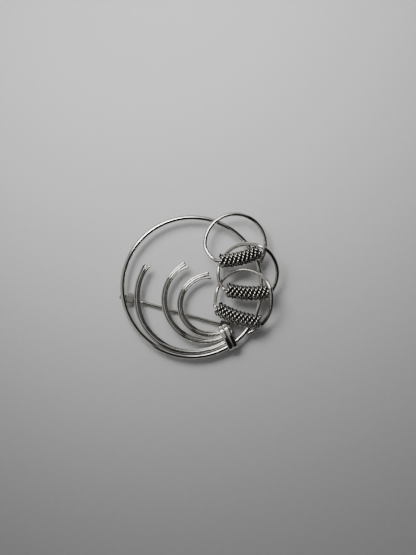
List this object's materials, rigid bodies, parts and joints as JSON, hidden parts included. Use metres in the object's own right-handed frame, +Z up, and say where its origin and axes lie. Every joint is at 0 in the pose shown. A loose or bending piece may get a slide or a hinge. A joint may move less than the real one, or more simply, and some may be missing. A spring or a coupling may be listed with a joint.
{
  "type": "wire-work circle brooch",
  "caption": "Round wire brooch: a frame ring with fanned wire sprays in a banded collar, interlinked coil-wrapped hoops, and a hinged pin with a turning catch.",
  "frame": {"origin": "middle of the bounding box in plan, at the level of the lowest point, which is the catch housing", "axes": "+Z up out of the brooch's front, +X towards the coiled hoops, the ring's plane level"},
  "size_m": [0.0434, 0.0398, 0.0102],
  "materials": {
    "ring_wire": "polished plating",
    "spray_wire": "polished plating",
    "collar": "polished plating",
    "hoop_wire": "polished plating",
    "coil_wire": "polished plating, darker in the grooves",
    "findings": "tumbled plating",
    "pin_steel": "drawn wire"
  },
  "bodies": {
    "brooch": {"frame_ring": "ring_wire", "outer_spray_outside_wire": "spray_wire", "outer_spray_inside_wire": "spray_wire", "outer_spray_top_wire": "spray_wire", "middle_spray_outside_wire": "spray_wire", "middle_spray_inside_wire": "spray_wire", "middle_spray_top_wire": "spray_wire", "inner_spray_outside_wire": "spray_wire", "inner_spray_inside_wire": "spray_wire", "inner_spray_top_wire": "spray_wire", "inner_collar_band": "collar", "outer_collar_band": "collar", "upper_hoop": "hoop_wire", "middle_hoop": "hoop_wire", "lower_hoop": "hoop_wire", "upper_coil": "coil_wire", "middle_coil": "coil_wire", "lower_coil": "coil_wire", "hinge_bracket": "findings", "hinge_rivet": "findings", "catch_base": "findings", "catch_housing": "findings"},
    "pin": {"pin_stem": "pin_steel"},
    "rotor": {"catch_rotor": "findings"}
  },
  "joints": [
    {"name": "pin_hinge", "type": "hinge", "parent": "brooch", "child": "pin", "pos_m": [0.00688, -0.01089, 0.00155], "axis": [-0.2725, -0.9621, 0], "range_deg": [0, 100]},
    {"name": "catch_turn", "type": "hinge", "parent": "brooch", "child": "rotor", "pos_m": [-0.01869, -0.00365, 0.00155], "axis": [-0.9621, 0.2725, 0], "range_deg": [0, 180]}
  ]
}
